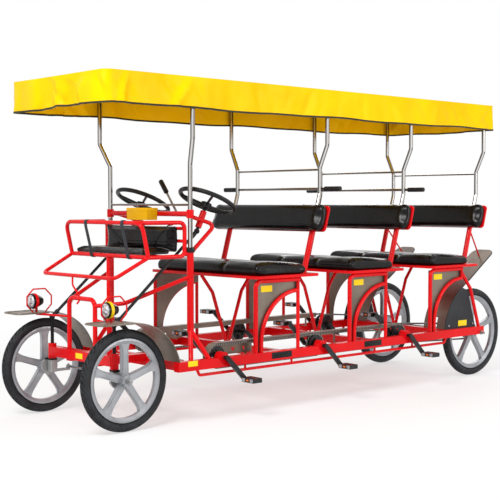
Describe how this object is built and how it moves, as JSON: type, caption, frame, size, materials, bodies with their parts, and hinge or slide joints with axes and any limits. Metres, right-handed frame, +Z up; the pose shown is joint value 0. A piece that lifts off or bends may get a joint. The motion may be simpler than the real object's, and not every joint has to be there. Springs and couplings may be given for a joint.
{
  "type": "pedal quadricycle",
  "caption": "Long pedal quadricycle with bench seats under a canopy, a railed child seat in front, paired steering wheels and pedal cranks along both sides.",
  "frame": {"origin": "on the ground under the middle of the vehicle's length and width", "axes": "+X forward, +Y to the left, +Z up"},
  "size_m": [3.316, 1.176, 1.768],
  "materials": {
    "tyre": "matt black rubber",
    "cast_wheel": "satin silver",
    "steel": "plain",
    "red_paint": "gloss red",
    "black_paint": "satin black",
    "black_vinyl": "soft black vinyl",
    "yellow_plastic": "gloss yellow",
    "black_plastic": "matt black",
    "crank_metal": "satin black",
    "champagne_paint": "satin champagne metallic",
    "lamp_lens": "clear",
    "chrome": "polished",
    "grip_rubber": "matt black",
    "canopy_cloth": "gloss yellow coated cloth with a dark hem",
    "charcoal_paint": "satin charcoal"
  },
  "bodies": {
    "frame": {"backrest_frames": "red_paint", "backrest_pad_1": "black_vinyl", "backrest_pad_2": "black_vinyl", "backrest_pad_3": "black_vinyl", "bench_frame_1": "red_paint", "bench_frame_2": "red_paint", "bench_frame_3": "red_paint", "brake_lever": "black_paint", "canopy": "canopy_cloth", "canopy_frame": "black_paint", "canopy_posts": "chrome", "centre_column": "red_paint", "chain_guards": "champagne_paint", "child_seat_back": "black_vinyl", "child_seat_cushion": "black_vinyl", "child_seat_frame": "red_paint", "cross_members": "red_paint", "crossbars": "chrome", "dash_box": "yellow_plastic", "dash_frame": "red_paint", "drive_chains": "steel", "front_fenders": "champagne_paint", "front_frame": "red_paint", "front_struts": "red_paint", "headlamp_lenses": "lamp_lens", "headlamps": "red_paint", "hold_bars": "chrome", "hold_grips": "grip_rubber", "rear_axle": "steel", "rear_fenders": "champagne_paint", "seat_bases": "black_paint", "seat_cushion_1": "black_vinyl", "seat_cushion_2": "black_vinyl", "seat_cushion_3": "black_vinyl", "seat_panels": "champagne_paint", "side_rails": "red_paint", "uprights": "red_paint", "wheel_covers": "charcoal_paint"},
    "steered_left": {"steering_knuckle_left": "black_paint"},
    "front_wheel_left": {"front_tyre_left": "tyre", "front_wheel_left": "cast_wheel"},
    "rear_wheel_left": {"rear_tyre_left": "tyre", "rear_wheel_left": "cast_wheel"},
    "steering_wheel_left": {"steering_wheel_left": "black_plastic"},
    "link_shaft_left": {"link_shaft_left": "black_paint"},
    "crank_left_1": {"crank_left_1": "crank_metal"},
    "crank_left_2": {"crank_left_2": "crank_metal"},
    "crank_left_3": {"crank_left_3": "crank_metal"},
    "steered_right": {"steering_knuckle_right": "black_paint"},
    "front_wheel_right": {"front_tyre_right": "tyre", "front_wheel_right": "cast_wheel"},
    "rear_wheel_right": {"rear_tyre_right": "tyre", "rear_wheel_right": "cast_wheel"},
    "steering_wheel_right": {"steering_wheel_right": "black_plastic"},
    "link_shaft_right": {"link_shaft_right": "black_paint"},
    "crank_right_1": {"crank_right_1": "crank_metal"},
    "crank_right_2": {"crank_right_2": "crank_metal"},
    "crank_right_3": {"crank_right_3": "crank_metal"},
    "tie_rod": {"tie_rod": "steel"}
  },
  "joints": [
    {"name": "steer_left", "type": "hinge", "parent": "frame", "child": "steered_left", "pos_m": [1.404, 0.285, 0.34], "axis": [0, 0, 1], "range_deg": [-25, 25]},
    {"name": "steer_right", "type": "hinge", "parent": "frame", "child": "steered_right", "pos_m": [1.404, -0.285, 0.34], "axis": [0, 0, 1], "range_deg": [-25, 25]},
    {"name": "tie_rod_pivot", "type": "hinge", "parent": "steered_left", "child": "tie_rod", "pos_m": [1.304, 0.285, 0.246], "axis": [0, 0, 1], "range_deg": [-25, 25]},
    {"name": "steering_wheel_left_turn", "type": "hinge", "parent": "frame", "child": "steering_wheel_left", "pos_m": [0.799, 0.285, 1.138], "axis": [-0.4226, 0, 0.9063], "range_deg": [-25, 25]},
    {"name": "link_shaft_left_turn", "type": "hinge", "parent": "frame", "child": "link_shaft_left", "pos_m": [1.13869, 0.285, 0.74925], "axis": [-0.7567, 0, 0.6538], "range_deg": [-25, 25]},
    {"name": "front_wheel_left_spin", "type": "hinge", "parent": "steered_left", "child": "front_wheel_left", "pos_m": [1.404, 0.368, 0.254], "axis": [0, 1, 0], "continuous": true},
    {"name": "rear_wheel_left_spin", "type": "hinge", "parent": "frame", "child": "rear_wheel_left", "pos_m": [-1.374, 0.38, 0.284], "axis": [0, 1, 0], "continuous": true},
    {"name": "crank_left_1_spin", "type": "hinge", "parent": "frame", "child": "crank_left_1", "pos_m": [0.835, 0.44, 0.325], "axis": [0, 1, 0], "continuous": true},
    {"name": "crank_left_2_spin", "type": "hinge", "parent": "frame", "child": "crank_left_2", "pos_m": [0.1, 0.44, 0.325], "axis": [0, 1, 0], "continuous": true},
    {"name": "crank_left_3_spin", "type": "hinge", "parent": "frame", "child": "crank_left_3", "pos_m": [-0.635, 0.44, 0.325], "axis": [0, 1, 0], "continuous": true},
    {"name": "steering_wheel_right_turn", "type": "hinge", "parent": "frame", "child": "steering_wheel_right", "pos_m": [0.799, -0.285, 1.138], "axis": [-0.4226, 0, 0.9063], "range_deg": [-25, 25]},
    {"name": "link_shaft_right_turn", "type": "hinge", "parent": "frame", "child": "link_shaft_right", "pos_m": [1.13869, -0.285, 0.74925], "axis": [-0.7567, 0, 0.6538], "range_deg": [-25, 25]},
    {"name": "front_wheel_right_spin", "type": "hinge", "parent": "steered_right", "child": "front_wheel_right", "pos_m": [1.404, -0.368, 0.254], "axis": [0, 1, 0], "continuous": true},
    {"name": "rear_wheel_right_spin", "type": "hinge", "parent": "frame", "child": "rear_wheel_right", "pos_m": [-1.374, -0.38, 0.284], "axis": [0, 1, 0], "continuous": true},
    {"name": "crank_right_1_spin", "type": "hinge", "parent": "frame", "child": "crank_right_1", "pos_m": [0.715, -0.44, 0.325], "axis": [0, 1, 0], "continuous": true},
    {"name": "crank_right_2_spin", "type": "hinge", "parent": "frame", "child": "crank_right_2", "pos_m": [-0.02, -0.44, 0.325], "axis": [0, 1, 0], "continuous": true},
    {"name": "crank_right_3_spin", "type": "hinge", "parent": "frame", "child": "crank_right_3", "pos_m": [-0.755, -0.44, 0.325], "axis": [0, 1, 0], "continuous": true}
  ],
  "couplings": [
    {"joint": "steer_right", "follows": "steer_left", "ratio": 1},
    {"joint": "tie_rod_pivot", "follows": "steer_left", "ratio": -1},
    {"joint": "steering_wheel_left_turn", "follows": "steer_left", "ratio": 1},
    {"joint": "link_shaft_left_turn", "follows": "steer_left", "ratio": 1},
    {"joint": "steering_wheel_right_turn", "follows": "steer_left", "ratio": 1},
    {"joint": "link_shaft_right_turn", "follows": "steer_left", "ratio": 1}
  ]
}
